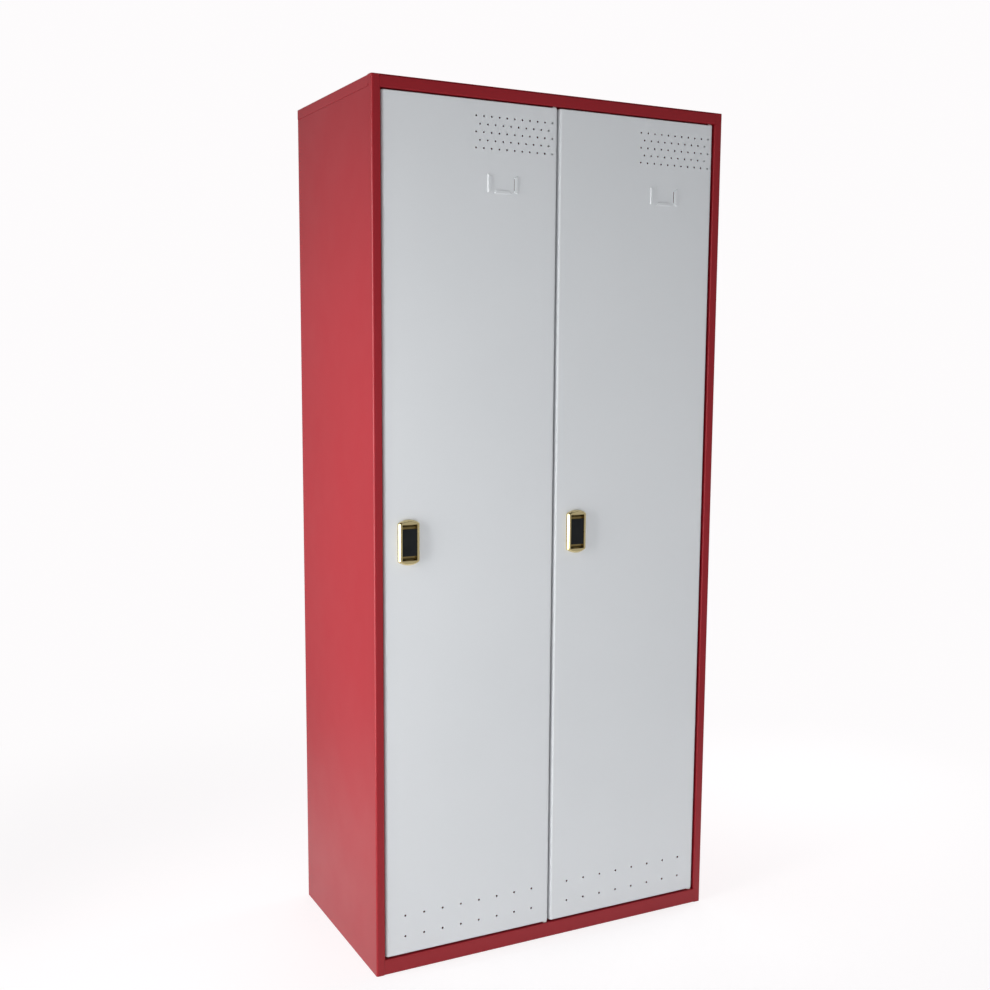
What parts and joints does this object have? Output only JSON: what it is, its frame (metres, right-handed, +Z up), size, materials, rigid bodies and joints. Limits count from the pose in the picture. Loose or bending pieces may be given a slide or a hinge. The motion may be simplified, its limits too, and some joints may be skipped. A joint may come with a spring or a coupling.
{
  "type": "two-door steel locker",
  "caption": "Tall red sheet-steel locker with light grey inset doors on hidden pivots, card-operated locks, pressed card holders, shelves and hanging rods.",
  "frame": {"origin": "on the floor, under the middle of the whole locker with its locks", "axes": "+Z up, -Y out of the doors, +X to the right when facing the doors"},
  "size_m": [0.9, 0.508, 2],
  "materials": {
    "red_paint": "satin powder coat",
    "grey_paint": "satin powder coat",
    "gilt": "polished gold plating",
    "reader_panel": "glossy black panel",
    "black_plastic": "fine-textured moulding",
    "plated_steel": "zinc plated",
    "white_nylon": "nylon",
    "black_rubber": "matt"
  },
  "bodies": {
    "carcass": {"side_panel_left": "red_paint", "side_panel_right": "red_paint", "top_cover": "red_paint", "top_rail": "red_paint", "bottom_rail": "red_paint", "floor_panel": "red_paint", "centre_partition": "red_paint", "back_panel": "red_paint", "shelf_left": "red_paint", "shelf_right": "red_paint", "shelf_runner_left_outer": "red_paint", "shelf_runner_left_inner": "red_paint", "shelf_runner_right_outer": "red_paint", "shelf_runner_right_inner": "red_paint", "hanging_rod_left": "plated_steel", "hanging_rod_right": "plated_steel", "rod_cup_left_outer": "plated_steel", "rod_cup_left_inner": "plated_steel", "rod_cup_right_outer": "plated_steel", "rod_cup_right_inner": "plated_steel", "pivot_pin_upper_left": "plated_steel", "pivot_pin_upper_right": "plated_steel", "pivot_pin_lower_left": "plated_steel", "pivot_pin_lower_right": "plated_steel", "thrust_washer_left": "white_nylon", "thrust_washer_right": "white_nylon", "lock_keeper_left": "plated_steel", "lock_keeper_right": "plated_steel", "door_buffer_upper_left": "black_rubber", "door_buffer_upper_right": "black_rubber", "door_buffer_lower_left": "black_rubber", "door_buffer_lower_right": "black_rubber"},
    "door_left": {"door_skin_left": "grey_paint", "door_stiffener_left": "grey_paint", "lock_bezel_left": "gilt", "lock_glass_left": "reader_panel", "lock_case_left": "black_plastic", "battery_cover_left": "black_plastic", "pivot_bush_upper_left": "white_nylon", "pivot_bush_lower_left": "white_nylon"},
    "door_right": {"door_skin_right": "grey_paint", "door_stiffener_right": "grey_paint", "lock_bezel_right": "gilt", "lock_glass_right": "reader_panel", "lock_case_right": "black_plastic", "battery_cover_right": "black_plastic", "pivot_bush_upper_right": "white_nylon", "pivot_bush_lower_right": "white_nylon"},
    "bolt_left": {"lock_bolt_left": "plated_steel"},
    "bolt_right": {"lock_bolt_right": "plated_steel"}
  },
  "joints": [
    {"name": "door_left_swing", "type": "hinge", "parent": "carcass", "child": "door_left", "pos_m": [-0.009, -0.236, 1.005], "axis": [0, 0, 1], "range_deg": [0, 95]},
    {"name": "door_right_swing", "type": "hinge", "parent": "carcass", "child": "door_right", "pos_m": [0.4185, -0.236, 1.005], "axis": [0, 0, 1], "range_deg": [0, 95]},
    {"name": "bolt_left_slide", "type": "slide", "parent": "door_left", "child": "bolt_left", "axis": [-1, 0, 0], "range_m": [0, 0.013]},
    {"name": "bolt_right_slide", "type": "slide", "parent": "door_right", "child": "bolt_right", "axis": [-1, 0, 0], "range_m": [0, 0.013]}
  ]
}
